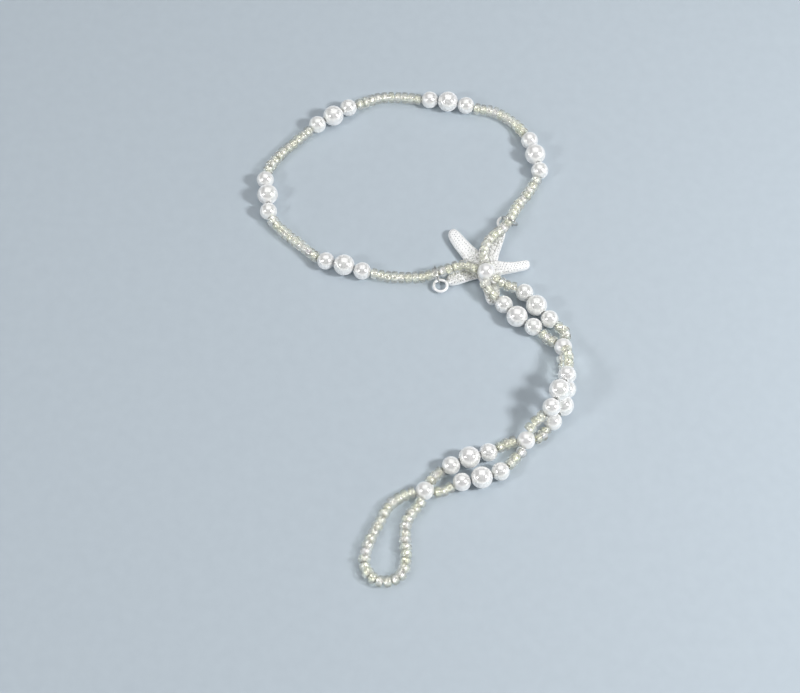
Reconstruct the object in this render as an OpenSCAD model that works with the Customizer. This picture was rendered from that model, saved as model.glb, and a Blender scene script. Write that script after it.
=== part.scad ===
// Barefoot sandal of faux pearls, glass seed beads and a cast starfish, lying flat.
// Millimetres. The ankle loop lies at +Y, the toe loop at -Y, and the floor is z = 0.

/* [Pearls] */
// Diameter of the large pearl in the middle of each row
large_d = 6; // [5.6:0.1:6]
// Diameter of the small pearls
small_d = 5; // [4.6:0.1:5]
// Diameter of the hole through each pearl of a row
bore_d = 1.5; // [1.3:0.05:1.6]
// Diameter of the hole through a pearl that both foot strands share
shared_bore_d = 1.8; // [1.6:0.05:2]
// Air between neighbouring pearls of a row
pearl_gap = 0.1; // [0.1:0.02:0.16]

/* [Seed beads] */
// Diameter of the strands of seed beads
seed_d = 3.1; // [2.8:0.1:3.1]
// Air between the end of a seed strand and its pearl
seed_gap = 0.2; // [0.15:0.05:0.25]
// Diameter of the beading thread
thread_d = 0.4; // [0.25:0.05:0.4]

/* [Starfish] */
// Height of the starfish at its middle
star_h = 2.5; // [2:0.1:2.5]
// Height of the rim that runs round its arms
rim_h = 0.8; // [0.6:0.1:1]
// Width of an arm where it leaves the middle
arm_w = 4.9; // [4.2:0.1:5]
// How far the cast dots stand out
dot_h = 0.2; // [0.1:0.05:0.25]
// Inner diameter of the cast loops
loop_hole_d = 3; // [2.8:0.1:3]
// Thickness of the cast loops
loop_wire_d = 0.85; // [0.7:0.05:0.9]
// Inner diameter of the jump rings
jump_hole_d = 4.7; // [4.65:0.05:4.75]
// Thickness of the jump rings' wire
jump_wire_d = 0.4; // [0.3:0.05:0.4]

/* [Hidden] */
large_r = large_d / 2;
small_r = small_d / 2;
seed_r = seed_d / 2;
pearl_colour = [0.95, 0.94, 0.9];
seed_colour = [0.86, 0.87, 0.78];
silver_colour = [0.86, 0.87, 0.88];
thread_colour = [0.9, 0.9, 0.9];

// Rows of three pearls along the thread: x and y of the large pearl, height of its centre,
// height of the small pearls' centres, then the headings of the thread in degrees before
// the row, over its first and second half and after it, and its slopes before and after
ANKLE_ROWS = [
    [36.8, 57.2, large_r, small_r, 72, 102, 106, 120, 5, -5],
    [10.8, 76.4, large_r, small_r, 162, 169, 170, 174, 5, -5],
    [-24, 71.2, large_r, small_r, 204, 216, 211, 220, 5, -5],
    [-43.1, 43, large_r, small_r, 259, 279, 274, 294, 5, -5],
    [-20.1, 18.8, large_r, small_r, -28, -17, -18, -12, 5, -5]
];
FOOT_ROWS = [
    [29.8, 1.7, large_r, small_r, -38, -49, -34, -36, -25, -5],
    [35.5, 5.3, large_r, small_r, -28, -54, -49, -50, -8, -5],
    [40.7, -24.8, 8.7, 8, 262, 246, 244, 222, 20, -30],
    [41.9, -26.8, large_r, small_r, 268, 255, 238, 222, 5, -5],
    [15.4, -42.8, large_r, small_r, 208, 198, 204, 212, 5, -5],
    [18.7, -48.9, large_r, small_r, 220, 201, 192, 200, 5, -5]
];

// Pearls that two strands share: x, y and height of the centre, and heading of the hole
SHARED = [
    [21.1, 15.2, 5.2, -57],
    [42.7, -8.1, 2.7, -71],
    [31.3, -37.4, small_r, 216],
    [3, -52.7, small_r, 215]
];

// Starfish: its middle, then for each arm the x and y of its tip, how far it bows sideways
// and its width as a share of arm_w, and which arms end in a loop
STAR_AT = [20.8, 19];
ARMS = [
    [34.1, 20.1, -0.4, 0.88],
    [26.2, 32.4, 0, 1],
    [11.1, 31.6, 0.9, 1.1],
    [9.9, 14.1, 0, 1],
    [23.2, 6.8, 0.5, 1]
];
LOOPED = [1, 3];
// Share of its length by which an arm has reached its own width
own_width_by = 0.25;
// Distance of a loop's centre from the arm's tip, and its height
loop_reach = 2.05;
loop_z = 1.15;

// Sections of the free part of an arm: share of its length, share of its width, share of
// its height
ARM_SECTIONS = [
    [0, 1, 0.98],
    [0.2, 0.93, 0.95],
    [0.4, 0.89, 0.92],
    [0.6, 0.86, 0.88],
    [0.75, 0.8, 0.82],
    [0.86, 0.69, 0.74],
    [0.94, 0.52, 0.64],
    [1, 0.26, 0.5]
];
// Distances from the middle at which the arms still touch each other, and the number of
// steps along the free part of an arm
root_s = [0, 1, 1.9, 2.6, 3.2, 3.8];
free_steps = 18;

function unit(v) = v / norm(v);
function ray(heading, slope = 0) =
    [cos(slope) * cos(heading), cos(slope) * sin(heading), sin(slope)];
function flat(v) = [v.x, v.y];

// Pearl centres of a row, k = 0 to 2 in the direction of the thread
row_pitch = large_r + small_r + pearl_gap;
function row_reach(row) = sqrt(pow(row_pitch, 2) - pow(row[2] - row[3], 2));
function row_centre(row, k) =
    k == 1 ? [row[0], row[1], row[2]]
    : k == 0 ? [row[0], row[1], row[3]] - row_reach(row) * ray(row[5])
    : [row[0], row[1], row[3]] + row_reach(row) * ray(row[6]);

// End of a seed strand at a small pearl: the middle of the strand's end, and the direction
// away from the pearl
function strand_end(centre, heading, slope) =
    let (away = ray(heading, slope))
    [centre + (small_r + seed_gap) * away, away];
function before_row(row) = strand_end(row_centre(row, 0), row[4] + 180, -row[8]);
function after_row(row) = strand_end(row_centre(row, 2), row[7], row[9]);
function shared_centre(s) = [s[0], s[1], s[2]];
function at_shared(s, heading, slope) = strand_end(shared_centre(s), heading, slope);

// Direction of the hole of each pearl of a row
function hole_of(row, k) =
    let (p = [for (i = [0:2]) row_centre(row, i)])
    k == 1 ? unit(p[2] - p[0])
    : k == 0 ? unit(unit(p[1] - p[0]) + ray(row[4], row[8]))
    : unit(unit(p[2] - p[1]) + ray(row[7], row[9]));

// Seed strands: the end at the pearl they leave, the points between, and the end at the
// pearl they reach
ANKLE_RUNS = [
    [at_shared(SHARED[0], 92, -8),
        [[20.7, 22.3, 4.4], [22.6, 27, 4.1], [26.3, 30.7, 3.7], [28.8, 34.6, 3.3],
        [30.8, 38.8, 2.6], [34.2, 44.2, seed_r]],
        before_row(ANKLE_ROWS[0])],
    [after_row(ANKLE_ROWS[0]), [[31, 69.1, seed_r], [25, 73.4, seed_r]],
        before_row(ANKLE_ROWS[1])],
    [after_row(ANKLE_ROWS[1]), [[-3.5, 78.8, seed_r], [-10.5, 78.4, seed_r]],
        before_row(ANKLE_ROWS[2])],
    [after_row(ANKLE_ROWS[2]), [[-34.6, 63.2, seed_r], [-39.8, 57.8, seed_r]],
        before_row(ANKLE_ROWS[3])],
    [after_row(ANKLE_ROWS[3]), [[-38.2, 31, seed_r], [-32.4, 25.8, seed_r]],
        before_row(ANKLE_ROWS[4])],
    [after_row(ANKLE_ROWS[4]),
        [[-6.5, 15.5, seed_r], [1, 15.3, seed_r], [4.5, 15.6, 2.4], [7, 16.05, 3.15],
        [10.5, 17.1, 3.6], [14.6, 18.1, 3.9]],
        at_shared(SHARED[0], 158, -10)]
];
FOOT_RUNS = [
    [[at_shared(SHARED[0], -98, -10), [[21.8, 9.8, 4]], before_row(FOOT_ROWS[0])],
        [at_shared(SHARED[0], -31, -10), [[26.1, 12, 3.7]], before_row(FOOT_ROWS[1])]],
    [[after_row(FOOT_ROWS[0]), [[38.4, -4.9, seed_r]], at_shared(SHARED[1], 144, -5)],
        [after_row(FOOT_ROWS[1]), [[42.9, -1.7, seed_r]], at_shared(SHARED[1], 77, -5)]],
    [[at_shared(SHARED[1], -75, 50), [[43.6, -13.2, 6.4]], before_row(FOOT_ROWS[2])],
        [at_shared(SHARED[1], -98, -12), [[42.9, -14.4, seed_r]],
        before_row(FOOT_ROWS[3])]],
    [[after_row(FOOT_ROWS[2]), [[34.5, -32.2, 5.2]], at_shared(SHARED[2], 70, 30)],
        [after_row(FOOT_ROWS[3]), [[36.6, -34.8, seed_r]], at_shared(SHARED[2], 15, -12)]],
    [[at_shared(SHARED[2], 184, -5), [[26.4, -38, seed_r]], before_row(FOOT_ROWS[4])],
        [at_shared(SHARED[2], 251, -5), [[28.4, -42.2, seed_r]],
        before_row(FOOT_ROWS[5])]],
    [[after_row(FOOT_ROWS[4]), [[6.6, -47.2, seed_r]], at_shared(SHARED[3], 63, -8)],
        [after_row(FOOT_ROWS[5]), [[9.2, -52, seed_r]], at_shared(SHARED[3], -4, -8)]]
];
TOE_RUN = [
    at_shared(SHARED[3], 184, -8),
    [[-3, -54, seed_r], [-6.8, -56.8, seed_r], [-9.2, -61.4, seed_r],
        [-11.4, -65.7, seed_r], [-13, -70, seed_r], [-13.3, -74.4, seed_r],
        [-11, -78, seed_r], [-7, -78.9, seed_r], [-3.3, -76.6, seed_r],
        [-2.2, -72, seed_r], [-2.4, -66.5, seed_r], [-1.8, -61, seed_r]],
    at_shared(SHARED[3], 251, -8)
];

// Threads through the shared pearls: pearl, the two strand ends that a thread joins, and
// the side of the hole that it keeps to
CROSSINGS = [
    [0, ANKLE_RUNS[5][2], FOOT_RUNS[0][0][0], -1],
    [0, ANKLE_RUNS[0][0], FOOT_RUNS[0][1][0], 1],
    [1, FOOT_RUNS[1][0][2], FOOT_RUNS[2][1][0], -1],
    [1, FOOT_RUNS[1][1][2], FOOT_RUNS[2][0][0], 1],
    [2, FOOT_RUNS[3][0][2], FOOT_RUNS[4][0][0], -1],
    [2, FOOT_RUNS[3][1][2], FOOT_RUNS[4][1][0], 1],
    [3, FOOT_RUNS[5][0][2], TOE_RUN[0], -1],
    [3, FOOT_RUNS[5][1][2], TOE_RUN[2], 1]
];
// Half the distance between the two threads in a shared hole
thread_apart = 0.35;
// How far towards the hole's axis a thread comes out of its strand's end
thread_inset = 1.2;
// Air between a thread's end and the strand it runs into
thread_gap = 0.1;

// Closed tube along a route, as flat-sided rings joined by triangles; its two ends are
// square to the given directions of travel
function along(route, i, ends) =
    i == 0 ? ends[0]
    : i == len(route) - 1 ? ends[1]
    : unit(route[i + 1] - route[i - 1]);
function ring(centre, travel, width, sides) =
    let (
        side = unit(cross(travel, [0, 0, 1])),
        top = cross(side, travel),
        reach = width / 2 / cos(180 / sides)
    )
    [for (k = [0:sides - 1]) let (a = 360 * (k + 0.5) / sides)
        centre + reach * (cos(a) * side + sin(a) * top)];
module sweep(route, width, sides, ends) {
    last = len(route) - 1;
    points = [for (i = [0:last]) each ring(route[i], along(route, i, ends), width, sides)];
    walls = [for (i = [0:last - 1], k = [0:sides - 1])
        let (a = i * sides + k, b = i * sides + (k + 1) % sides)
        each [[a, b, b + sides], [a, b + sides, a + sides]]];
    first_cap = [for (k = [sides - 1:-1:0]) k];
    last_cap = [for (k = [0:sides - 1]) last * sides + k];
    polyhedron(points, concat(walls, [first_cap, last_cap]), convexity = 6);
}

// Drilled pearl with its hole along a direction
module pearl(centre, radius, hole, hole_d) {
    turn = atan2(hole.y, hole.x);
    tip = acos(hole.z);
    color(pearl_colour)
        translate(centre)
            rotate([0, tip, turn])
                difference() {
                    sphere(r = radius, $fn = 72);
                    cylinder(h = 3 * radius, d = hole_d, center = true, $fn = 36);
                }
}
module row_pearl(row, k) {
    pearl(row_centre(row, k), k == 1 ? large_r : small_r, hole_of(row, k), bore_d);
}
module shared_pearl(s) {
    pearl(shared_centre(s), small_r, ray(s[3]), shared_bore_d);
}

// Strands of seed beads, each as one tube
module strand(run) {
    sweep(concat([run[0][0]], run[1], [run[2][0]]), seed_d, 8, [run[0][1], -run[2][1]]);
}
module ankle_seeds(i) {
    color(seed_colour)
        strand(ANKLE_RUNS[i]);
}
module foot_seeds(i) {
    color(seed_colour)
        for (run = FOOT_RUNS[i])
            strand(run);
}
module toe_loop() {
    color(seed_colour)
        strand(TOE_RUN);
}

// Beading thread from strand end to strand end, first through a row and then through a
// shared pearl, where it comes out of each strand a little towards the hole's axis
function thread_tip(end, inward = [0, 0, 0]) =
    end[0] - thread_gap * end[1] + thread_inset * inward;
function through(row, k) =
    let (reach = (k == 1 ? large_r - thread_gap : small_r) * hole_of(row, k))
    [row_centre(row, k) - reach, row_centre(row, k) + reach];
module row_thread(row) {
    route = concat([thread_tip(before_row(row))], [for (k = [0:2]) each through(row, k)],
        [thread_tip(after_row(row))]);
    sweep(route, thread_d, 6, [-before_row(row)[1], after_row(row)[1]]);
}
function towards(end, axis) = unit(axis - (axis * end[1]) * end[1]);
module shared_thread(c) {
    s = SHARED[c[0]];
    axis = ray(s[3]);
    aside = c[3] * thread_apart * ray(s[3] + 90);
    mouth = small_r * axis;
    route = [
        thread_tip(c[1], towards(c[1], -axis)), shared_centre(s) - mouth + aside,
        shared_centre(s) + mouth + aside, thread_tip(c[2], towards(c[2], axis))
    ];
    sweep(route, thread_d, 6, [-c[1][1], c[2][1]]);
}
module thread() {
    color(thread_colour) {
        for (row = concat(ANKLE_ROWS, FOOT_ROWS))
            row_thread(row);
        for (c = CROSSINGS)
            shared_thread(c);
    }
}

// Starfish arms: headings, lengths and the lines half way between neighbours
function arm_vector(i) = [ARMS[i][0], ARMS[i][1]] - STAR_AT;
arm_count = len(ARMS);
arm_heading = [for (i = [0:arm_count - 1]) atan2(arm_vector(i).y, arm_vector(i).x)];
function next_arm(i) = (i + 1) % arm_count;
function turn_to_next(i) = (arm_heading[next_arm(i)] - arm_heading[i] + 360) % 360;
function half_angle(i, side) =
    side > 0 ? turn_to_next(i) / 2 : turn_to_next((i + arm_count - 1) % arm_count) / 2;

// Value of a section column at a share of the arm's length
function section(share, column) =
    let (
        n = max([for (i = [0:len(ARM_SECTIONS) - 2]) ARM_SECTIONS[i][0] <= share ? i : 0]),
        a = ARM_SECTIONS[n],
        b = ARM_SECTIONS[n + 1]
    )
    a[column] + (b[column] - a[column]) * (share - a[0]) / (b[0] - a[0]);

arm_steps = len(root_s) - 1 + free_steps;
function arm_s(i, step) =
    step < len(root_s) ? root_s[step]
    : let (root = root_s[len(root_s) - 1], share = (step - len(root_s) + 1) / free_steps)
        root + (norm(arm_vector(i)) - root) * sin(90 * share);
function arm_share(i, step) =
    let (root = root_s[len(root_s) - 1])
    max(0, (arm_s(i, step) - root) / (norm(arm_vector(i)) - root));
function arm_half(i, step) =
    let (share = arm_share(i, step))
    arm_w / 2 * section(share, 1) * (1 + (ARMS[i][3] - 1) * min(1, share / own_width_by));
function at_root(i, step, side) =
    step < len(root_s) && root_s[step] * tan(half_angle(i, side)) < arm_half(i, step);

// Corner of an arm's outline; neighbours compute the corners that they share alike
function outline_point(i, step, side) =
    at_root(i, step, side)
    ? let (
        lead = side > 0 ? i : (i + arm_count - 1) % arm_count,
        heading = arm_heading[lead] + turn_to_next(lead) / 2,
        reach = root_s[step] / cos(turn_to_next(lead) / 2)
    ) STAR_AT + reach * flat(ray(heading))
    : let (
        bow = ARMS[i][2] * sin(180 * arm_share(i, step)),
        h = arm_heading[i]
    ) STAR_AT + arm_s(i, step) * flat(ray(h))
        + (bow + side * arm_half(i, step)) * flat(ray(h + 90));
// Height along the valleys between the arms, which falls from the middle to the rim
valley_end = 4.2;
valley_power = 1.4;
function outline_z(i, step, side) =
    at_root(i, step, side)
    ? rim_h + (star_h - rim_h)
        * pow(cos(90 * min(1, root_s[step] / valley_end)), valley_power)
    : rim_h;

// Cross-section of an arm: -1 and 1 are its edges, and a smooth ridge runs along its
// middle; the dots stand in rows at these shares of the half width
DOTS_AT = [0.5, 0.88];
ACROSS = [-1, -DOTS_AT[1], -0.7, -DOTS_AT[0], -0.3, -0.12,
    0.12, 0.3, DOTS_AT[0], 0.7, DOTS_AT[1], 1];
ridge_h = 0.1;
ridge_half = 0.2;
first_dot = 5;
function crown(u) = pow(1 - pow(abs(u), 2.2), 0.7);
function dotted(step, u) =
    step >= first_dot && step < arm_steps - 1 && step % 2 == 0
        && (abs(u) == DOTS_AT[0] || abs(u) == DOTS_AT[1]);
function top_point(i, step, u) =
    let (
        a = outline_point(i, step, -1),
        b = outline_point(i, step, 1),
        p = a + (b - a) * (u + 1) / 2,
        za = outline_z(i, step, -1),
        zb = outline_z(i, step, 1),
        edge = za + (zb - za) * (u + 1) / 2,
        ridge = star_h * section(arm_share(i, step), 2) + (abs(u) < ridge_half ? ridge_h : 0),
        z = edge + max(0, ridge - edge) * crown(u) + (dotted(step, u) ? dot_h : 0)
    )
    [p.x, p.y, z];

// One closed surface: the middle point, the arms' tops, their flat undersides and rims
module star_body() {
    n = len(ACROSS);
    per_arm = arm_steps * (n + 2);
    // Point numbers: 0 and 1 are the middle's top and underside
    points = concat(
        [[STAR_AT.x, STAR_AT.y, star_h + ridge_h], [STAR_AT.x, STAR_AT.y, 0]],
        [for (i = [0:arm_count - 1], step = [1:arm_steps]) each concat(
            [for (u = ACROSS) top_point(i, step, u)],
            [for (side = [-1, 1]) let (p = outline_point(i, step, side)) [p.x, p.y, 0]]
        )]
    );
    function id(i, step, k) = 2 + i * per_arm + (step - 1) * (n + 2) + k;
    tops = [for (i = [0:arm_count - 1], step = [1:arm_steps - 1], k = [0:n - 2])
        let (a = id(i, step, k), b = id(i, step, k + 1),
            c = id(i, step + 1, k + 1), d = id(i, step + 1, k))
        each [[a, b, c], [a, c, d]]];
    hub = [for (i = [0:arm_count - 1], k = [0:n - 2])
        [0, id(i, 1, k + 1), id(i, 1, k)]];
    unders = [for (i = [0:arm_count - 1], step = [1:arm_steps - 1])
        let (a = id(i, step, n), b = id(i, step, n + 1),
            c = id(i, step + 1, n + 1), d = id(i, step + 1, n))
        each [[a, c, b], [a, d, c]]];
    under_hub = [for (i = [0:arm_count - 1]) [1, id(i, 1, n), id(i, 1, n + 1)]];
    rims = [for (i = [0:arm_count - 1], step = [1:arm_steps - 1], side = [-1, 1])
        if (!(at_root(i, step, side) && at_root(i, step + 1, side)))
            let (top = side < 0 ? 0 : n - 1, low = side < 0 ? n : n + 1,
                a = id(i, step, top), b = id(i, step + 1, top),
                c = id(i, step + 1, low), d = id(i, step, low))
            each side < 0 ? [[a, b, c], [a, c, d]] : [[a, c, b], [a, d, c]]];
    tips = [for (i = [0:arm_count - 1])
        concat([for (k = [0:n - 1]) id(i, arm_steps, k)],
            [id(i, arm_steps, n + 1), id(i, arm_steps, n)])];
    polyhedron(points, concat(tops, hub, unders, under_hub, rims, tips), convexity = 8);
}

// Cast loop past the tip of an arm, as short straight pieces of round wire
loop_sides = 16;
module cast_loop(i) {
    outward = flat(ray(arm_heading[i]));
    middle = [ARMS[i][0], ARMS[i][1]] + loop_reach * outward;
    ring_r = (loop_hole_d + loop_wire_d) / 2;
    translate([middle.x, middle.y, loop_z])
        for (k = [0:loop_sides - 1])
            hull()
                for (a = [k, k + 1] * 360 / loop_sides)
                    translate(ring_r * ray(a))
                        sphere(d = loop_wire_d, $fn = 8);
}
module starfish() {
    color(silver_colour)
        union() {
            star_body();
            for (i = LOOPED)
                cast_loop(i);
        }
}

// Jump rings round a strand and through a cast loop: centre, heading of the axis and how
// far it tips up
JUMPS = [
    [7, 15.6, 2.8, 12, 12],
    [28.55, 33.9, 2.85, 60, -8]
];
module jump_ring(i) {
    j = JUMPS[i];
    color(silver_colour)
        translate([j[0], j[1], j[2]])
            rotate([0, 90 - j[4], j[3]])
                rotate_extrude($fn = 48)
                    translate([(jump_hole_d + jump_wire_d) / 2, 0])
                        circle(d = jump_wire_d, $fn = 24);
}

function numbered(name, count) = [for (i = [1:count]) str(name, i)];

starfish();
jump_ring(0);  // jump_ring_1
jump_ring(1);  // jump_ring_2
shared_pearl(SHARED[0]);  // centre_pearl
toe_loop();
thread();
for (i = [0:14])
    row_pearl(ANKLE_ROWS[floor(i / 3)], i % 3);
for (i = [0:17])
    row_pearl(FOOT_ROWS[floor(i / 3)], i % 3);
for (i = [1:3])
    shared_pearl(SHARED[i]);
for (i = [0:5])
    ankle_seeds(i);
for (i = [0:5])
    foot_seeds(i);
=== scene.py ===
"""Barefoot sandal of faux pearls, silver-lined seed beads and a cast starfish, lying flat."""

import math
import random

import bmesh
import bpy
from mathutils import Matrix, Vector, kdtree


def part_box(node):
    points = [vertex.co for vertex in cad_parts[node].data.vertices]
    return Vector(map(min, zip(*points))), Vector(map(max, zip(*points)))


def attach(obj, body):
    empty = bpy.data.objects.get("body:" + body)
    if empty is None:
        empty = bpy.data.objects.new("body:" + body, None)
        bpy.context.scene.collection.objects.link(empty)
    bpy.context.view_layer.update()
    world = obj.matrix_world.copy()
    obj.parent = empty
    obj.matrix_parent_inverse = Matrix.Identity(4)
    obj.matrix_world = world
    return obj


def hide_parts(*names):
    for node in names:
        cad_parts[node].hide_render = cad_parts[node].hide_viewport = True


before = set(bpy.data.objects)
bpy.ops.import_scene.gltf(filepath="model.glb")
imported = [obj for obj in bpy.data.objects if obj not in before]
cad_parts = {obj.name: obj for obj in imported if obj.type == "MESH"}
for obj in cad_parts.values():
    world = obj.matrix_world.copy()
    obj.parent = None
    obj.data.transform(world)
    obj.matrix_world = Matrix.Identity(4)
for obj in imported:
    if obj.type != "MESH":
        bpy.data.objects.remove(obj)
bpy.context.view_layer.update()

# Lengths are in millimetres where nothing else is said, and MM turns them into metres
MM = 0.001
# Places closer than this many metres count as the same
SAME = 1e-7

# Pearls: radii of the large and the small ones and of their holes, and the rounding of the
# holes' rims
LARGE_R = 3.04
SMALL_R = 2.54
PEARL_HOLE_R = 0.6
PEARL_RIM = 0.12
# Rows of three pearls by CAD node: small, large, small
PEARL_ROWS = [
    [f"{part}_pearl_{first + k}" for k in range(3)]
    for part, count in (("ankle", 15), ("foot", 18))
    for first in range(1, count, 3)
]

# Seed bead as modelled: radius, length, number of sides, hole from corner to middle, share of
# that which is left between the hole's corners, unlined mouths of the hole, and rounding of
# the shoulders
SEED_R = 1.6
BEAD_L = 2
BEAD_SIDES = 12
BEAD_HOLE_R = 0.8
HOLE_SIDE = 0.84
BEAD_MOUTH = 0.15
BEAD_ROUND = 0.58
# Beads in a strand: share of its stretch that a bead fills, ranges of the beads' lengths and
# widths as shares, and the most that one tilts, in degrees
BEAD_FILL = 0.95
BEAD_LENGTHS = (0.96, 1.02)
BEAD_WIDTHS = (0.98, 1.1)
BEAD_TILT = 10
# Gap between a pearl and the first bead of a strand
SEED_GAP = 0.05
# Thread: its diameter, and the gap under which points of its mesh are merged
THREAD_D = 0.34
THREAD_MERGE = 0.001

# Headings in degrees of the holes through the pearls that two strands share
SHARED_HOLES = {
    "centre_pearl": -57,
    "joining_pearl_1": -71,
    "joining_pearl_2": 216,
    "joining_pearl_3": 215,
}

# Strands of seed beads by CAD node: the pearl that a strand leaves with the heading and
# slope there, the points between, the pearl that it reaches with the heading and slope
# back into the strand, and its number of beads
STRANDS = {
    "ankle_seeds_1": [
        [("centre_pearl", 92, -8),
         [(20.7, 22.3, 4.4), (22.6, 27, 4.1), (26.3, 30.7, 3.7), (28.8, 34.6, 3.3),
          (30.8, 38.8, 2.6), (34.2, 44.2, SEED_R)],
         ("ankle_pearl_1", 252, -5), 18],
    ],
    "ankle_seeds_2": [
        [("ankle_pearl_3", 120, -5), [(31, 69.1, SEED_R), (25, 73.4, SEED_R)],
         ("ankle_pearl_4", 342, -5), 10],
    ],
    "ankle_seeds_3": [
        [("ankle_pearl_6", 174, -5), [(-3.5, 78.8, SEED_R), (-10.5, 78.4, SEED_R)],
         ("ankle_pearl_7", 24, -5), 10],
    ],
    "ankle_seeds_4": [
        [("ankle_pearl_9", 220, -5), [(-34.6, 63.2, SEED_R), (-39.8, 57.8, SEED_R)],
         ("ankle_pearl_10", 79, -5), 10],
    ],
    "ankle_seeds_5": [
        [("ankle_pearl_12", 294, -5), [(-38.2, 31, SEED_R), (-32.4, 25.8, SEED_R)],
         ("ankle_pearl_13", 152, -5), 10],
    ],
    "ankle_seeds_6": [
        [("ankle_pearl_15", -12, -5),
         [(-6.5, 15.5, SEED_R), (1, 15.3, SEED_R), (4.5, 15.6, 2.4), (7, 16.05, 3.15),
          (10.5, 17.1, 3.6), (14.6, 18.1, 3.9)],
         ("centre_pearl", 158, -10), 16],
    ],
    "foot_seeds_1": [
        [("centre_pearl", -98, -10), [(21.8, 9.8, 4)], ("foot_pearl_1", 142, 25), 3],
        [("centre_pearl", -31, -10), [(26.1, 12, 3.7)], ("foot_pearl_4", 152, 8), 4],
    ],
    "foot_seeds_2": [
        [("foot_pearl_3", -36, -5), [(38.4, -4.9, SEED_R)], ("joining_pearl_1", 144, -5), 3],
        [("foot_pearl_6", -50, -5), [(42.9, -1.7, SEED_R)], ("joining_pearl_1", 77, -5), 3],
    ],
    "foot_seeds_3": [
        [("joining_pearl_1", -75, 50), [(43.6, -13.2, 6.4)], ("foot_pearl_7", 82, -20), 3],
        [("joining_pearl_1", -98, -12), [(42.9, -14.4, SEED_R)], ("foot_pearl_10", 88, -5), 4],
    ],
    "foot_seeds_4": [
        [("foot_pearl_9", 222, -30), [(34.5, -32.2, 5.2)], ("joining_pearl_2", 70, 30), 3],
        [("foot_pearl_12", 222, -5), [(36.6, -34.8, SEED_R)], ("joining_pearl_2", 15, -12), 3],
    ],
    "foot_seeds_5": [
        [("joining_pearl_2", 184, -5), [(26.4, -38, SEED_R)], ("foot_pearl_13", 28, -5), 3],
        [("joining_pearl_2", 251, -5), [(28.4, -42.2, SEED_R)], ("foot_pearl_16", 40, -5), 3],
    ],
    "foot_seeds_6": [
        [("foot_pearl_15", 212, -5), [(6.6, -47.2, SEED_R)], ("joining_pearl_3", 63, -8), 3],
        [("foot_pearl_18", 200, -5), [(9.2, -52, SEED_R)], ("joining_pearl_3", -4, -8), 3],
    ],
    "toe_loop": [
        [("joining_pearl_3", 184, -8),
         [(-3, -54, SEED_R), (-6.8, -56.8, SEED_R), (-9.2, -61.4, SEED_R),
          (-11.4, -65.7, SEED_R), (-13, -70, SEED_R), (-13.3, -74.4, SEED_R),
          (-11, -78, SEED_R), (-7, -78.9, SEED_R), (-3.3, -76.6, SEED_R),
          (-2.2, -72, SEED_R), (-2.4, -66.5, SEED_R), (-1.8, -61, SEED_R)],
         ("joining_pearl_3", 251, -8), 31],
    ],
}

# Starfish: its middle, its height and that of its arms under their ribs, and for each arm
# the x and y of its tip, how far it bows sideways, its width and how much narrower it is
# past its middle
STAR_AT = (20.8, 19)
STAR_H = 2.5
ARM_H = 0.98 * STAR_H
ARMS = [
    (34.1, 20.1, -0.95, 4.8, 0.24),
    (26.2, 32.4, 0, 4.9, 0),
    (11.1, 31.6, 0.7, 4.9, 0),
    (9.9, 14.1, 0, 5.1, 0),
    (23.2, 6.8, 0.5, 5.2, 0),
]
# Sections of an arm: share of its length, share of its width, share of its height
ARM_SECTIONS = [
    (0.16, 1.3, 1), (0.31, 1.13, 0.99), (0.45, 1, 0.98), (0.6, 0.95, 0.96),
    (0.78, 0.85, 0.94), (0.87, 0.78, 0.92), (0.93, 0.67, 0.88), (0.97, 0.5, 0.82), (1, 0.26, 0.72),
]
# Half the length of the block that an arm is drawn out of, the rounding of its shoulders,
# and the inset and height of the rib along its top
ARM_START = 0.2
ARM_ROUND = 0.4
RIB_INSET = 0.2
RIB_H = 0.14
# How far the backs of the arms are hollowed up. The star's middle stays low, as a foot
ARCH_H = 1.5
# Fusing of the star: size of its voxels, and share of its triangles that is kept
STAR_VOXEL = 0.085
STAR_KEPT = 0.68
# Cast pits: rows at these shares of an arm's half width, where they start, their pitch,
# radius and depth, the shallowest as a share of that, and scatter along and across the arm
PIT_ROWS = (-0.78, -0.39, 0, 0.39, 0.78)
PIT_FROM = 2.6
PIT_PITCH = 0.85
PIT_R = 0.24
PIT_DEPTH = 0.2
PIT_SHALLOWEST = 0.35
PIT_SCATTER = (0.14, 0.1)
# Strands that lie over the star, how far from them the painted reflection and shade of them
# reaches over its top, and the lowest point that it reaches
CROSSING_STRANDS = ("ankle_seeds_1", "ankle_seeds_6", "foot_seeds_1")
STRAND_REFLECTION_REACH = 4.6
STRAND_REFLECTION_FROM_Z = 1.7
# Cast loops at the tips of two arms: x and y of their centres, radius to the middle of the
# metal, radius of the metal, and height of the centres
LOOPS = [(27.05, 34.27), (7.95, 12.9)]
LOOP_R = 1.92
LOOP_WIRE_R = 0.43
LOOP_Z = 1.15

# Jump rings: x, y and z of the centre, heading of the axis and how far it tips up
JUMP_RINGS = {
    "jump_ring_1": (7, 15.6, 2.8, 12, 12),
    "jump_ring_2": (28.55, 33.9, 2.85, 60, 18),
}
# Radius of a jump ring to the middle of its wire, radius of the wire, and how far round the
# wire goes, in degrees
JUMP_R = 2.55
JUMP_WIRE_R = 0.26
JUMP_TURN = 357

# Camera: its place in metres, and its tilt in degrees from straight down
CAMERA_AT = (-0.0038, -0.2755, 0.5059)
CAMERA_TILT = 28
# Lamps: name, direction from the sandal, size in metres and power in watts
LAMPS = [
    ("right_lamp", (0.716, -0.21, 0.666), 0.12, 3.6),
    ("left_lamp", (-0.718, -0.327, 0.614), 0.12, 1.17),
    ("back_lamp", (0.05, 0.474, 0.868), 0.8, 1.9),
]
# Distance of the lamps and width of the floor, in metres
LAMP_DISTANCE = 0.7
FLOOR_W = 20


def place(x, y, z=0.0):
    """A point given in millimetres."""
    return Vector((x, y, z)) * MM


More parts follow.
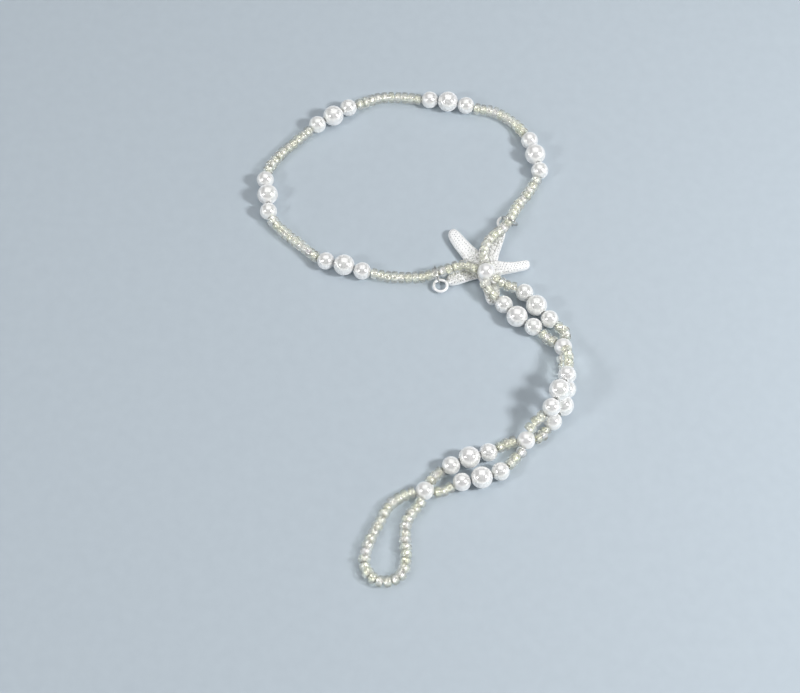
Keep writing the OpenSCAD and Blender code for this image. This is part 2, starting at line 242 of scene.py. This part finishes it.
def ray(heading, slope=0.0):
    """A direction given by its heading and slope in degrees."""
    h, s = math.radians(heading), math.radians(slope)
    return Vector((math.cos(s) * math.cos(h), math.cos(s) * math.sin(h), math.sin(s)))


def turn_to(axis):
    """The turn that lays Z along an axis."""
    return axis.to_track_quat("Z", "Y").to_matrix().to_4x4()


def middle_of(node):
    low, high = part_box(node)
    return (low + high) / 2


# Modelling steps that most pieces share


def put_down():
    """Leaves edit mode and deselects everything."""
    if bpy.context.object is not None and bpy.context.object.mode != "OBJECT":
        bpy.ops.object.mode_set(mode="OBJECT")
    bpy.ops.object.select_all(action="DESELECT")


def pick_up(piece):
    put_down()
    piece.select_set(True)
    bpy.context.view_layer.objects.active = piece


def choose(piece, kind, test):
    """Goes into edit mode and selects the vertices, edges or faces that pass the test."""
    if piece.mode != "EDIT":
        pick_up(piece)
        bpy.ops.object.mode_set(mode="EDIT")
    bpy.ops.mesh.select_mode(type=kind)
    bpy.ops.mesh.select_all(action="DESELECT")
    mesh = bmesh.from_edit_mesh(piece.data)
    mesh.normal_update()
    for part in {"VERT": mesh.verts, "EDGE": mesh.edges, "FACE": mesh.faces}[kind]:
        if test(part):
            part.select_set(True)
    mesh.select_flush_mode()
    bmesh.update_edit_mesh(piece.data)


def everything(part):
    return True


def middle(part):
    """Middle of an edge or a face."""
    return sum((v.co for v in part.verts), Vector()) / len(part.verts)


def is_level(edge):
    return abs(edge.verts[0].co.z - edge.verts[1].co.z) < SAME


def copy_of(model, name, matrix):
    """A copy with a mesh of its own, which the matrix puts in its place."""
    piece = model.copy()
    piece.data = model.data.copy()
    piece.name = name
    piece.data.transform(matrix)
    bpy.context.scene.collection.objects.link(piece)
    return piece


def join(pieces, name):
    put_down()
    for piece in pieces:
        piece.select_set(True)
    bpy.context.view_layer.objects.active = pieces[0]
    bpy.ops.object.join()
    pieces[0].name = name
    return pieces[0]


def drop(piece):
    mesh = piece.data
    bpy.data.objects.remove(piece)
    bpy.data.meshes.remove(mesh)


def smooth(piece, degrees):
    pick_up(piece)
    bpy.ops.object.shade_smooth_by_angle(angle=math.radians(degrees))


def finish_piece(piece, node):
    """The piece rides on the one body and stands for a CAD node, whose own part is hidden."""
    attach(piece, "root")
    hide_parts(node)


# Materials


def new_material(name):
    material = bpy.data.materials.new(name)
    material.use_nodes = True
    nodes = material.node_tree.nodes
    return material, nodes, material.node_tree.links, nodes["Principled BSDF"]


def set_values(node, values):
    for socket, value in values.items():
        node.inputs[socket].default_value = value


def noise(nodes, links, scale, detail=2.0):
    """Noise on object coordinates, with its scale in waves a metre."""
    where = nodes.new("ShaderNodeTexCoord")
    pattern = nodes.new("ShaderNodeTexNoise")
    set_values(pattern, {"Scale": scale, "Detail": detail})
    links.new(where.outputs["Object"], pattern.inputs["Vector"])
    return pattern.outputs["Fac"]


def mesh_value(nodes, name):
    """A value that the mesh carries at each of its points."""
    value = nodes.new("ShaderNodeAttribute")
    value.attribute_name = name
    return value.outputs["Fac"]


def ramp(nodes, links, source, stops):
    """Colour ramp over a source, with stops of place and colour."""
    band = nodes.new("ShaderNodeValToRGB")
    stop = band.color_ramp.elements
    while len(stop) < len(stops):
        stop.new(0.5)
    for element, (at, colour) in zip(stop, stops):
        element.position = at
        element.color = (*colour, 1)
    links.new(source, band.inputs["Fac"])
    return band.outputs["Color"]


def multiplied(nodes, links, a, b, share=None):
    """Colour a times colour b, or only by a share of it where one is given."""
    both = nodes.new("ShaderNodeMix")
    both.data_type = "RGBA"
    both.blend_type = "MULTIPLY"
    both.inputs["Factor"].default_value = 1
    links.new(a, both.inputs["A"])
    links.new(b, both.inputs["B"])
    if share is not None:
        links.new(share, both.inputs["Factor"])
    return both.outputs["Result"]


def spread(nodes, links, source, low, high, from_low=0.3, from_high=0.7):
    """The source's range spread over low to high. Noise lies mostly between 0.3 and 0.7."""
    band = nodes.new("ShaderNodeMapRange")
    set_values(band, {"From Min": from_low, "From Max": from_high, "To Min": low, "To Max": high})
    links.new(source, band.inputs["Value"])
    return band.outputs["Result"]


def give_colour(nodes, links, surface, source, stops):
    links.new(ramp(nodes, links, source, stops), surface.inputs["Base Color"])


def give_roughness(nodes, links, surface, source, low, high):
    links.new(spread(nodes, links, source, low, high), surface.inputs["Roughness"])


def give_bumps(nodes, links, surface, source, strength, depth):
    bump = nodes.new("ShaderNodeBump")
    set_values(bump, {"Strength": strength, "Distance": depth})
    links.new(source, bump.inputs["Height"])
    links.new(bump.outputs["Normal"], surface.inputs["Normal"])


def pearl_lacquer():
    """White pearlescent lacquer with a soft, slightly uneven gloss."""
    material, nodes, links, surface = new_material("pearl_lacquer")
    give_colour(
        nodes, links, surface, noise(nodes, links, 160),
        [(0.35, (0.88, 0.9, 0.86)), (0.5, (0.9, 0.9, 0.875)), (0.65, (0.89, 0.885, 0.885))])
    skin = noise(nodes, links, 700, detail=1)
    give_roughness(nodes, links, surface, skin, 0.1, 0.15)
    give_bumps(nodes, links, surface, skin, 0.05, 0.02 * MM)
    set_values(surface, {
        "Metallic": 0.5,
        "Subsurface Weight": 1,
        "Subsurface Radius": (1, 1, 1),
        "Subsurface Scale": 3 * MM,
        "Coat Weight": 1,
        "Coat IOR": 1.7,
        "Coat Roughness": 0.07,
        "Sheen Weight": 1,
        "Sheen Roughness": 0.8,
    })
    return material


def clear_glass():
    """Clear glass that lets the lamps through to the floor."""
    material, nodes, links, surface = new_material("clear_glass")
    give_colour(
        nodes, links, surface, noise(nodes, links, 420),
        [(0.38, (0.95, 0.97, 0.88)), (0.5, (0.98, 0.98, 0.94)), (0.62, (0.96, 0.95, 0.95))])
    set_values(surface, {"Transmission Weight": 0.85, "IOR": 1.5, "Roughness": 0.03})
    clear = nodes.new("ShaderNodeBsdfTransparent")
    clear.inputs["Color"].default_value = (0.64, 0.65, 0.64, 1)
    path = nodes.new("ShaderNodeLightPath")
    mix = nodes.new("ShaderNodeMixShader")
    links.new(path.outputs["Is Shadow Ray"], mix.inputs["Fac"])
    links.new(surface.outputs["BSDF"], mix.inputs[1])
    links.new(clear.outputs["BSDF"], mix.inputs[2])
    links.new(mix.outputs["Shader"], nodes["Material Output"].inputs["Surface"])
    return material


def bead_lining():
    """Silvery champagne lining of the beads' square holes, in a tone for each bead."""
    material, nodes, links, surface = new_material("bead_lining")
    give_colour(
        nodes, links, surface, mesh_value(nodes, "tone"),
        [(0.0, (0.87, 0.87, 0.71)), (0.4, (0.9, 0.9, 0.8)),
         (0.85, (0.94, 0.94, 0.89)), (1.0, (0.91, 0.89, 0.91))])
    give_roughness(nodes, links, surface, noise(nodes, links, 2400), 0.14, 0.28)
    surface.inputs["Metallic"].default_value = 0.8
    return material


def cast_silver():
    """White silver plate over a casting: soft gloss, with painted shade in its crevices and pits,
    and painted reflections and shade of the crossing strands as grey mottling near them.
    """
    material, nodes, links, surface = new_material("satin_silver")
    shape = nodes.new("ShaderNodeNewGeometry")
    # Painted shade: the plate turns grey where the surface is hollow, in crevices and between
    # grains
    plate_with_crevice_shade = ramp(
        nodes, links, shape.outputs["Pointiness"],
        [(0.42, (0.6, 0.61, 0.62)), (0.48, (0.95, 0.955, 0.96)), (0.55, (0.99, 0.99, 0.99))])
    # Painted shade: the plate is darkened in the pits, the more the deeper they are
    pit_shade = ramp(
        nodes, links, mesh_value(nodes, "pit"),
        [(0.1, (1, 1, 1)), (0.8, (0.45, 0.46, 0.48))])
    # Painted reflection and shade: grey mottling on the star's top close to the strands that cross
    # it
    strand_reflection_mottle = ramp(
        nodes, links, noise(nodes, links, 1900, detail=3),
        [(0.42, (0.3, 0.3, 0.27)), (0.5, (0.72, 0.72, 0.69)), (0.56, (1, 1, 1))])
    shaded_plate = multiplied(nodes, links, plate_with_crevice_shade, pit_shade)
    with_strand_reflection = multiplied(nodes, links, shaded_plate, strand_reflection_mottle, share=mesh_value(nodes, "strand_reflection"))
    links.new(with_strand_reflection, surface.inputs["Base Color"])
    grain = noise(nodes, links, 3200, detail=3)
    give_roughness(nodes, links, surface, grain, 0.3, 0.42)
    give_bumps(nodes, links, surface, grain, 0.15, 0.03 * MM)
    set_values(surface, {"Metallic": 0.25, "Specular IOR Level": 0.9})
    return material


def ring_wire():
    """Polished silver wire with fine drawing marks."""
    material, nodes, links, surface = new_material("drawn_silver_wire")
    marks = noise(nodes, links, 1800, detail=4)
    give_colour(
        nodes, links, surface, marks, [(0.35, (0.5, 0.5, 0.49)), (0.65, (0.68, 0.68, 0.66))])
    give_roughness(nodes, links, surface, marks, 0.12, 0.24)
    surface.inputs["Metallic"].default_value = 1
    return material


def beading_nylon():
    """Milky nylon thread."""
    material, nodes, links, surface = new_material("beading_nylon")
    fibre = noise(nodes, links, 2600)
    give_colour(
        nodes, links, surface, fibre, [(0.3, (0.8, 0.81, 0.8)), (0.7, (0.92, 0.92, 0.9))])
    give_roughness(nodes, links, surface, fibre, 0.3, 0.45)
    return material


def matt_board():
    """Pale blue-grey studio board."""
    material, nodes, links, surface = new_material("matt_board")
    fibre = noise(nodes, links, 300, detail=4)
    give_colour(
        nodes, links, surface, fibre,
        [(0.3, (0.458, 0.523, 0.581)), (0.7, (0.476, 0.542, 0.6))])
    give_roughness(nodes, links, surface, fibre, 0.6, 0.7)
    surface.inputs["Specular IOR Level"].default_value = 0.2
    return material


# Pearls


def model_pearl(radius):
    """A drilled bead along Z: a sphere with its poles cut off, a bore and a soft rim."""
    put_down()
    bpy.ops.mesh.primitive_uv_sphere_add(segments=40, ring_count=30, radius=radius * MM)
    pearl = bpy.context.object
    hole = PEARL_HOLE_R * MM
    rim_z = math.sqrt(radius**2 - PEARL_HOLE_R**2) * MM
    choose(pearl, "VERT", lambda v: v.co.xy.length < 0.9 * hole)
    bpy.ops.mesh.delete(type="VERT")
    for side in (-1, 1):
        end = side * max(side * v.co.z for v in edited_points(pearl))
        choose(pearl, "VERT", lambda v: abs(v.co.z - end) < SAME)
        width = next(v.co.xy.length for v in edited_points(pearl) if v.select)
        bpy.ops.transform.resize(
            value=(hole / width, hole / width, 1), center_override=(0, 0, end))
        bpy.ops.transform.translate(value=(0, 0, side * rim_z - end))
    choose(pearl, "EDGE", lambda e: e.is_boundary)
    bpy.ops.mesh.bridge_edge_loops()
    choose(pearl, "EDGE", lambda e: is_level(e)
           and all(abs(v.co.xy.length - hole) < SAME for v in e.verts))
    bpy.ops.mesh.bevel(offset=PEARL_RIM * MM, segments=2)
    smooth(pearl, 60)
    return pearl


def edited_points(piece):
    return bmesh.from_edit_mesh(piece.data).verts


def pearl_holes():
    """The direction of the hole of each pearl, by node."""
    away = {}
    for runs in STRANDS.values():
        for start, _, end, _ in runs:
            for node, heading, slope in (start, end):
                away.setdefault(node, ray(heading, slope))
    holes = {node: ray(heading) for node, heading in SHARED_HOLES.items()}
    for first, large, last in PEARL_ROWS:
        a, b, c = middle_of(first), middle_of(large), middle_of(last)
        holes[first] = ((b - a).normalized() - away[first]).normalized()
        holes[large] = (c - a).normalized()
        holes[last] = ((c - b).normalized() + away[last]).normalized()
    return holes


def make_pearls(lacquer):
    models = {radius: model_pearl(radius) for radius in (SMALL_R, LARGE_R)}
    for model in models.values():
        model.data.materials.append(lacquer)
    chance = random.Random(11)
    for node, hole in pearl_holes().items():
        low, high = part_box(node)
        is_large = (high - low).z > (SMALL_R + LARGE_R) * MM
        spin = Matrix.Rotation(chance.uniform(0, math.tau), 4, "Z")
        matrix = Matrix.Translation(middle_of(node)) @ turn_to(hole) @ spin
        pearl = copy_of(models[LARGE_R if is_large else SMALL_R], f"drilled_{node}", matrix)
        finish_piece(pearl, node)
    for model in models.values():
        drop(model)


# Seed beads


def model_bead(glass, lining):
    """A seed bead along Z: a short glass ring with round shoulders and a square hole."""
    put_down()
    bpy.ops.mesh.primitive_cylinder_add(
        vertices=BEAD_SIDES, radius=SEED_R * MM, depth=BEAD_L * MM)
    bead = bpy.context.object
    bead.data.materials.append(glass)
    bead.data.materials.append(lining)
    hole = BEAD_HOLE_R * MM
    inside = 1.05 * hole
    outside = 0.95 * SEED_R * MM
    choose(bead, "FACE", lambda f: abs(f.normal.z) > 0.9)
    bpy.ops.mesh.inset(thickness=(SEED_R * MM - hole) * math.cos(math.pi / BEAD_SIDES))
    choose(bead, "FACE", lambda f: abs(f.normal.z) > 0.9 and middle(f).xy.length < SAME)
    bpy.ops.mesh.bridge_edge_loops()
    choose(bead, "VERT", lambda v: v.co.xy.length < inside
           and min(abs(v.co.x), abs(v.co.y)) > SAME)
    bpy.ops.transform.resize(value=(HOLE_SIDE, HOLE_SIDE, 1), center_override=(0, 0, 0))
    choose(bead, "EDGE", lambda e: is_level(e)
           and all(v.co.xy.length > outside for v in e.verts))
    bpy.ops.mesh.bevel(offset=BEAD_ROUND * MM, segments=2)
    choose(bead, "EDGE", lambda e: is_level(e)
           and all(v.co.xy.length < inside for v in e.verts))
    bpy.ops.mesh.bevel(offset=BEAD_MOUTH * MM, segments=1)
    choose(bead, "FACE", lambda f: abs(f.normal.z) < 0.3 and middle(f).xy.length < inside)
    bead.active_material_index = 1
    bpy.ops.object.material_slot_assign()
    smooth(bead, 50)
    return bead


def strand_end(end):
    """The end of a strand at a pearl, and the direction away from the pearl."""
    node, heading, slope = end
    away = ray(heading, slope)
    return middle_of(node) + (SMALL_R + SEED_GAP) * MM * away, away


def strand_route(run, steps=24):
    """A smooth line through a strand, with a number of steps between two of its points."""
    start, between, end, _ = run
    (first, leave), (last, arrive) = strand_end(start), strand_end(end)
    knots = [first, *(place(*p) for p in between), last]
    ways = [leave]
    ways += [(knots[i + 1] - knots[i - 1]).normalized() for i in range(1, len(knots) - 1)]
    ways.append(-arrive)
    line = []
    for i in range(len(knots) - 1):
        reach = (knots[i + 1] - knots[i]).length / 3
        a, b = knots[i], knots[i] + ways[i] * reach
        c, d = knots[i + 1] - ways[i + 1] * reach, knots[i + 1]
        for k in range(steps):
            t = k / steps
            u = 1 - t
            line.append(u**3 * a + 3 * t * u**2 * b + 3 * t * t * u * c + t**3 * d)
    return [*line, knots[-1]]


def stations(line, count):
    """Middles, directions and pitch of a number of beads that fill a line."""
    lengths = [0.0]
    for a, b in zip(line, line[1:]):
        lengths.append(lengths[-1] + (b - a).length)
    pitch = lengths[-1] / count

    def at(s):
        i = max(k for k in range(len(lengths) - 1) if lengths[k] <= s)
        t = (s - lengths[i]) / (lengths[i + 1] - lengths[i])
        return line[i].lerp(line[i + 1], min(1, t))

    for k in range(count):
        way = at((k + 1) * pitch) - at(k * pitch)
        yield at((k + 0.5) * pitch), way.normalized(), pitch


def give_tone(bead, tone):
    values = bead.data.attributes.new("tone", "FLOAT", "POINT")
    for value in values.data:
        value.value = tone


def make_strands(glass, lining):
    """Each strand of beads in one piece, with beads that differ in size, tilt and tone."""
    model = model_bead(glass, lining)
    chance = random.Random(5)
    for node, runs in STRANDS.items():
        beads = []
        for run in runs:
            for spot, way, pitch in stations(strand_route(run), run[3]):
                long = BEAD_FILL * pitch / (BEAD_L * MM) * chance.uniform(*BEAD_LENGTHS)
                wide = chance.uniform(*BEAD_WIDTHS)
                tilt = Matrix.Rotation(
                    math.radians(chance.uniform(-BEAD_TILT, BEAD_TILT)), 4, "X")
                spin = Matrix.Rotation(chance.uniform(0, math.tau), 4, "Z")
                shape = Matrix.Diagonal((wide, wide, long, 1))
                spot.z = max(spot.z, wide * SEED_R * MM)
                matrix = Matrix.Translation(spot) @ turn_to(way) @ spin @ tilt @ shape
                bead = copy_of(model, "bead", matrix)
                give_tone(bead, chance.random())
                beads.append(bead)
        strand = join(beads, node.replace("seeds", "beads").replace("toe_loop", "toe_beads"))
        finish_piece(strand, node)
    drop(model)


# Thread


def hole_to(end):
    """Thread inside the pearl at the end of a strand: from the pearl's middle and, in a
    shared pearl, to just outside the mouth of its hole on the strand's side."""
    node, heading, slope = end
    if node not in SHARED_HOLES:
        return [middle_of(node)]
    hole = ray(SHARED_HOLES[node])
    side = math.copysign(1, hole.dot(ray(heading, slope)))
    return [middle_of(node), middle_of(node) + side * (SMALL_R + THREAD_D / 2) * MM * hole]


def thread_length(line):
    """A closed tube of thread along a line of points."""
    data = bpy.data.curves.new("thread_length", "CURVE")
    data.dimensions = "3D"
    data.bevel_depth = THREAD_D / 2 * MM
    data.bevel_resolution = 2
    data.use_fill_caps = True
    spline = data.splines.new("POLY")
    spline.points.add(len(line) - 1)
    for point, at in zip(spline.points, line):
        point.co = (*at, 1)
    length = bpy.data.objects.new("thread_length", data)
    bpy.context.scene.collection.objects.link(length)
    pick_up(length)
    bpy.ops.object.convert(target="MESH")
    length = bpy.context.object
    # The caps of the converted curve aren't joined to the tube yet
    choose(length, "VERT", everything)
    bpy.ops.mesh.remove_doubles(threshold=THREAD_MERGE * MM)
    bpy.ops.mesh.normals_make_consistent(inside=False)
    return length


def make_thread(nylon):
    """One nylon filament through all the beads, as lengths from pearl to pearl."""
    lines = [
        [*hole_to(run[0]), *strand_route(run, steps=6), *reversed(hole_to(run[2]))]
        for runs in STRANDS.values() for run in runs]
    lines += [[middle_of(node) for node in row] for row in PEARL_ROWS]
    thread = join([thread_length(line) for line in lines], "beading_thread")
    thread.data.materials.append(nylon)
    smooth(thread, 60)
    finish_piece(thread, "thread")


# Starfish


def model_arm(length, width, waist, bow):
    """An arm along X: a block with rounded shoulders, drawn out section by section to a
    round tip, with a rib along its top and a hollow back."""
    put_down()
    bpy.ops.mesh.primitive_cube_add(size=2 * MM)
    arm = bpy.context.object
    choose(arm, "VERT", everything)
    bpy.ops.transform.resize(value=(ARM_START, 1, 0.5), center_override=(0, 0, -1 * MM))
    bpy.ops.transform.translate(value=(0, 0, 1 * MM))
    choose(arm, "EDGE", lambda e: middle(e).z > 0.5 * MM
           and abs(e.verts[0].co.x - e.verts[1].co.x) > ARM_START * MM)
    bpy.ops.mesh.bevel(offset=ARM_ROUND * MM, segments=3)
    choose(arm, "VERT", everything)
    bpy.ops.transform.resize(value=(1, width / 2, ARM_H), center_override=(0, 0, 0))
    last_wide, last_high = 1, 1
    side = 0.0
    reach = ARM_START * MM
    for share, part, high in ARM_SECTIONS:
        wide = part * narrowing(share, waist)
        choose(arm, "FACE", lambda f: f.normal.x > 0.9 and middle(f).x > reach - SAME)
        step = length * share * MM - reach
        shift = bow * math.sin(math.pi * share) * MM - side
        bpy.ops.mesh.extrude_region_move(TRANSFORM_OT_translate={"value": (step, shift, 0)})
        reach += step
        side += shift
        bpy.ops.transform.resize(
            value=(1, wide / last_wide, high / last_high), center_override=(reach, side, 0))
        last_wide, last_high = wide, high
    choose(arm, "FACE", lambda f: f.normal.z > 0.9)
    bpy.ops.mesh.inset(thickness=RIB_INSET * MM)
    bpy.ops.transform.translate(value=(0, 0, RIB_H * MM))
    for share, _, _ in ARM_SECTIONS:
        at = length * share * MM
        choose(arm, "VERT", lambda v: abs(v.co.x - at) < 0.02 * MM and v.co.z < 0.1 * MM)
        bpy.ops.transform.translate(value=(0, 0, ARCH_H * (1 - share**2) * MM))
    put_down()
    return arm


def narrowing(share, waist):
    """What is left of an arm's width at a share of its length."""
    return 1 - waist * math.sin(math.pi * share**2)


def arm_turn(tip_x, tip_y):
    """Length of an arm, and the move that lays an arm along X in its place."""
    span = Vector((tip_x - STAR_AT[0], tip_y - STAR_AT[1]))
    turn = Matrix.Rotation(math.atan2(span.y, span.x), 4, "Z")
    return span.length, Matrix.Translation(place(*STAR_AT)) @ turn


def star_arm(tip_x, tip_y, bow, width, waist):
    length, turn = arm_turn(tip_x, tip_y)
    arm = model_arm(length, width, waist, bow)
    pick_up(arm)
    rounding = arm.modifiers.new("rounding", "SUBSURF")
    rounding.levels = rounding.render_levels = 2
    bpy.ops.object.modifier_apply(modifier="rounding")
    arm.data.transform(turn)
    return arm


def half_width(share, width, waist):
    """Half the width of an arm at a share of its length."""
    a = max((s for s in ARM_SECTIONS if s[0] <= share), default=(0, 1, 1))
    b = min((s for s in ARM_SECTIONS if s[0] > share), default=a)
    t = (share - a[0]) / (b[0] - a[0]) if b[0] > a[0] else 0
    return width / 2 * (a[1] + (b[1] - a[1]) * t) * narrowing(share, waist)


def pit_places():
    """Places above the cast pits and their depths, in staggered rows along each arm."""
    chance = random.Random(3)
    along, sideways = PIT_SCATTER
    for tip_x, tip_y, bow, width, waist in ARMS:
        length, turn = arm_turn(tip_x, tip_y)
        for row, across in enumerate(PIT_ROWS):
            s = PIT_FROM + (row % 2) * PIT_PITCH / 2
            while s < length - 2 * PIT_R:
                share = s / length
                y = bow * math.sin(math.pi * share) + across * half_width(share, width, waist)
                x = s + chance.uniform(-along, along)
                spot = turn @ place(x, y + chance.uniform(-sideways, sideways), 2 * STAR_H)
                yield spot, chance.uniform(PIT_SHALLOWEST, 1)
                s += PIT_PITCH


def press_pits(star):
    """Presses the pits into the top of the star and marks their depths in an attribute, from which
    the material paints shade into them.
    """
    points = kdtree.KDTree(len(star.data.vertices))
    for i, vertex in enumerate(star.data.vertices):
        points.insert(vertex.co, i)
    points.balance()
    depths = [0.0] * len(star.data.vertices)
    for start, depth in pit_places():
        hit, spot, normal, _ = star.ray_cast(start, Vector((0, 0, -1)))
        if hit and normal.z > 0.5:
            for _, i, gap in points.find_range(spot, PIT_R * MM):
                depths[i] = max(depths[i], depth * (1 - (gap / (PIT_R * MM))**2))
    marks = star.data.attributes.new("pit", "FLOAT", "POINT")
    for vertex, mark, depth in zip(star.data.vertices, marks.data, depths):
        mark.value = depth
        vertex.co.z -= depth * PIT_DEPTH * MM


def mark_strand_reflection(star):
    """Marks how close the star's surface lies to the strands that cross it, for painted
    reflections and shade of them.
    """
    line = []
    for node in CROSSING_STRANDS:
        for run in STRANDS[node]:
            line += strand_route(run, steps=8)
    routes = kdtree.KDTree(len(line))
    for i, point in enumerate(line):
        routes.insert(point, i)
    routes.balance()
    marks = star.data.attributes.new("strand_reflection", "FLOAT", "POINT")
    for vertex, mark in zip(star.data.vertices, marks.data):
        gap = routes.find(vertex.co)[2] / MM - SEED_R
        if vertex.co.z > STRAND_REFLECTION_FROM_Z * MM:
            mark.value = max(0, 1 - max(0, gap) / STRAND_REFLECTION_REACH)


def star_loop(x, y):
    put_down()
    bpy.ops.mesh.primitive_torus_add(
        major_segments=40, minor_segments=14, major_radius=LOOP_R * MM,
        minor_radius=LOOP_WIRE_R * MM, location=place(x, y, LOOP_Z))
    loop = bpy.context.object
    bpy.ops.object.transform_apply(location=True, rotation=False, scale=False)
    return loop


def make_star(silver):
    """Arms and loops fused into one casting, then pitted and marked where the crossing strands lie
    close, for their painted reflections and shade.
    """
    parts = [star_arm(*arm) for arm in ARMS]
    parts += [star_loop(*centre) for centre in LOOPS]
    star = join(parts, "cast_starfish")
    pick_up(star)
    fuse = star.modifiers.new("fuse", "REMESH")
    fuse.mode = "VOXEL"
    fuse.voxel_size = STAR_VOXEL * MM
    bpy.ops.object.modifier_apply(modifier="fuse")
    soften = star.modifiers.new("soften", "SMOOTH")
    soften.factor = 0.5
    soften.iterations = 2
    bpy.ops.object.modifier_apply(modifier="soften")
    press_pits(star)
    mark_strand_reflection(star)
    thin_out = star.modifiers.new("thin_out", "DECIMATE")
    thin_out.ratio = STAR_KEPT
    bpy.ops.object.modifier_apply(modifier="thin_out")
    bpy.ops.object.shade_smooth()
    star.data.materials.append(silver)
    finish_piece(star, "starfish")


# Jump rings


def make_jump_rings(wire):
    """Rings of round wire with their cut ends nearly touching, each spun from a circle."""
    for node, (x, y, z, heading, tip) in JUMP_RINGS.items():
        put_down()
        bpy.ops.mesh.primitive_circle_add(
            vertices=14, radius=JUMP_WIRE_R * MM, fill_type="NGON",
            location=(JUMP_R * MM, 0, 0), rotation=(math.radians(90), 0, 0))
        ring = bpy.context.object
        bpy.ops.object.transform_apply(location=True, rotation=True, scale=False)
        choose(ring, "FACE", everything)
        bpy.ops.mesh.spin(
            steps=56, angle=math.radians(JUMP_TURN), center=(0, 0, 0), axis=(0, 0, 1),
            use_auto_merge=False)
        bpy.ops.mesh.select_all(action="SELECT")
        bpy.ops.mesh.normals_make_consistent(inside=False)
        put_down()
        ring.name = f"wire_{node}"
        ring.data.transform(Matrix.Translation(place(x, y, z)) @ turn_to(ray(heading, tip)))
        ring.data.materials.append(wire)
        smooth(ring, 50)
        finish_piece(ring, node)


# Floor, lights and camera


def make_floor(board):
    put_down()
    bpy.ops.mesh.primitive_plane_add(size=FLOOR_W)
    floor = bpy.context.object
    floor.name = "floor_board"
    floor.data.materials.append(board)


def make_lamps():
    """Square soft lights that face the sandal."""
    for name, direction, size, power in LAMPS:
        lamp = bpy.data.lights.new(name, "AREA")
        lamp.size = size
        lamp.energy = power
        holder = bpy.data.objects.new(name, lamp)
        way = Vector(direction).normalized()
        holder.location = LAMP_DISTANCE * way
        holder.rotation_euler = way.to_track_quat("Z", "Y").to_euler()
        bpy.context.scene.collection.objects.link(holder)


def grey(value):
    return value, value, value


def make_world():
    """Pale room, darker overhead and at the front, where the camera stands, and at the back."""
    world = bpy.data.worlds.new("pale_room")
    world.use_nodes = True
    nodes, links = world.node_tree.nodes, world.node_tree.links
    where = nodes.new("ShaderNodeTexCoord")
    parts = nodes.new("ShaderNodeSeparateXYZ")
    links.new(where.outputs["Generated"], parts.inputs["Vector"])
    height = ramp(
        nodes, links, parts.outputs["Z"],
        [(0.0, grey(0.9)), (0.15, grey(0.75)), (0.4, grey(0.08))])
    to_back = spread(nodes, links, parts.outputs["Y"], 0, 1, from_low=-1, from_high=1)
    depth = ramp(nodes, links, to_back, [(0.1, grey(0.38)), (0.42, grey(1)), (0.9, grey(0.12))])
    links.new(multiplied(nodes, links, height, depth), nodes["Background"].inputs["Color"])
    nodes["Background"].inputs["Strength"].default_value = 2.86
    bpy.context.scene.world = world


def make_camera():
    data = bpy.data.cameras.new("photo_view")
    data.lens = 90
    data.sensor_width = 36
    data.clip_start = 0.05
    camera = bpy.data.objects.new("photo_view", data)
    camera.location = CAMERA_AT
    camera.rotation_euler = (math.radians(CAMERA_TILT), 0, 0)
    bpy.context.scene.collection.objects.link(camera)
    bpy.context.scene.camera = camera


make_camera()
make_pearls(pearl_lacquer())
make_strands(clear_glass(), bead_lining())
make_thread(beading_nylon())
make_star(cast_silver())
make_jump_rings(ring_wire())
make_floor(matt_board())
make_world()
make_lamps()
bpy.context.scene.view_settings.view_transform = "Standard"
put_down()
